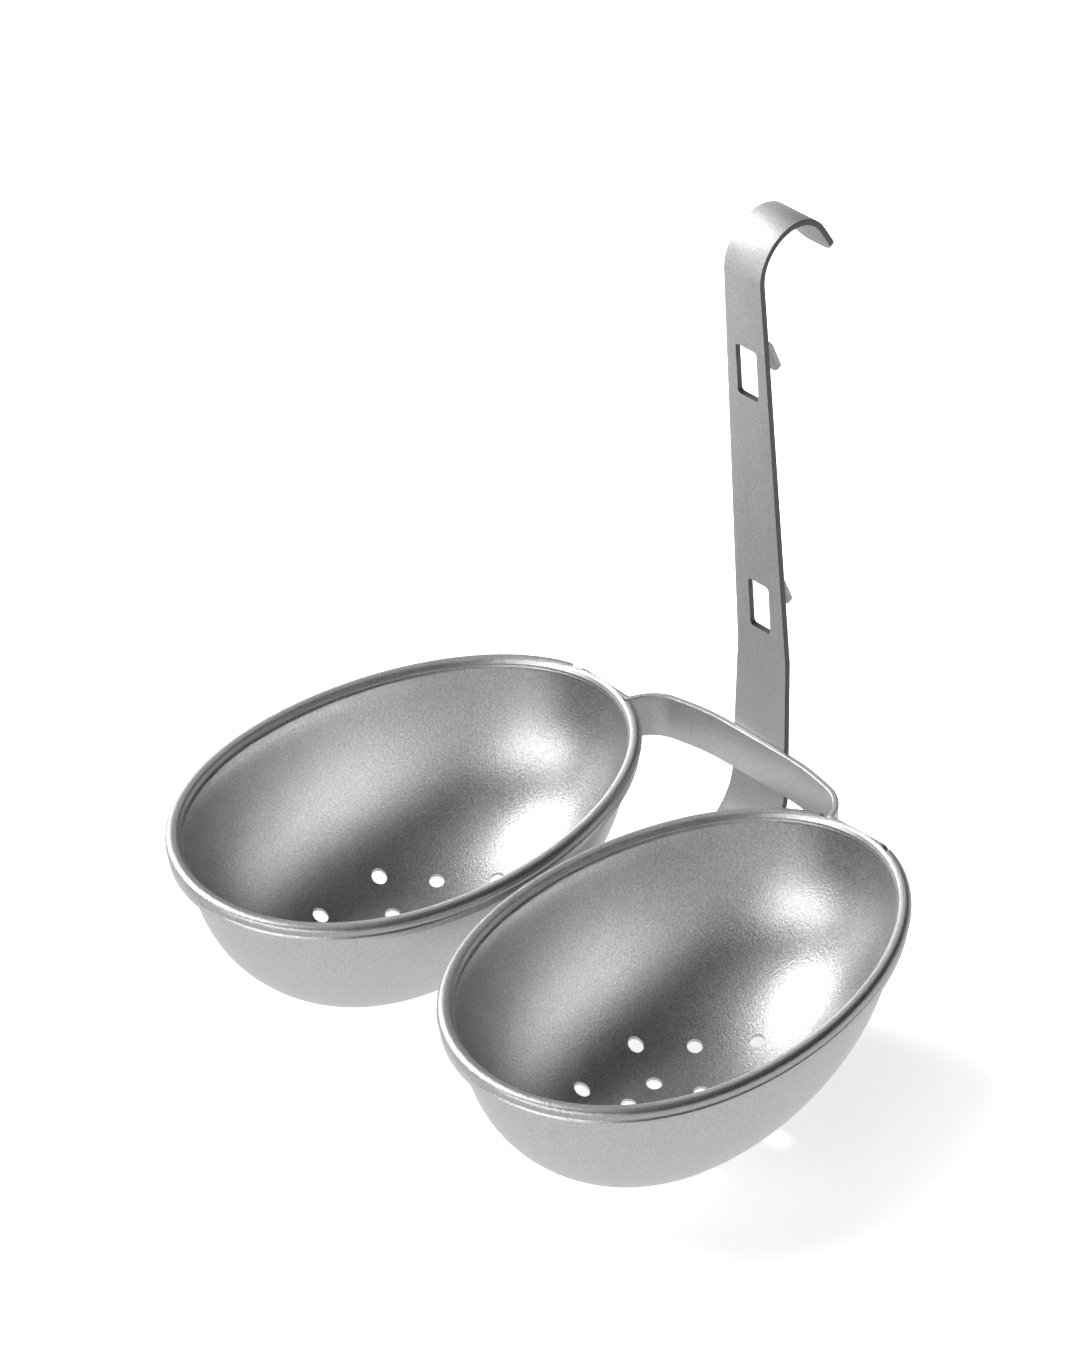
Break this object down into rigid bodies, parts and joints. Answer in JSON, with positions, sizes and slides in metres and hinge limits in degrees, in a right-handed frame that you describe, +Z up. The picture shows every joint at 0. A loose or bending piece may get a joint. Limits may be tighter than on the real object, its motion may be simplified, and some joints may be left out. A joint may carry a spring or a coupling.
{
  "type": "egg poacher pan",
  "caption": "Hanging egg poacher: perforated egg-shaped cups with rolled rims on a cross strap, and a tapered hanger strap with a pot hook and lanced tongues.",
  "frame": {"origin": "on the ground, under the centre of the whole object's box", "axes": "+Z up along the hanger, +Y from the cups towards the hanger and its hook, +X from the left cup to the right cup"},
  "size_m": [0.1422, 0.1224, 0.1539],
  "materials": {
    "coated_steel": "silver satin coating with a fine metallic grain",
    "weld": "bare spot weld nugget"
  },
  "bodies": {
    "root": {"left_cup": "coated_steel", "right_cup": "coated_steel", "cross_strap": "coated_steel", "hanger_strap": "coated_steel", "left_cup_welds": "weld", "right_cup_welds": "weld", "hanger_welds": "weld"}
  },
  "joints": []
}
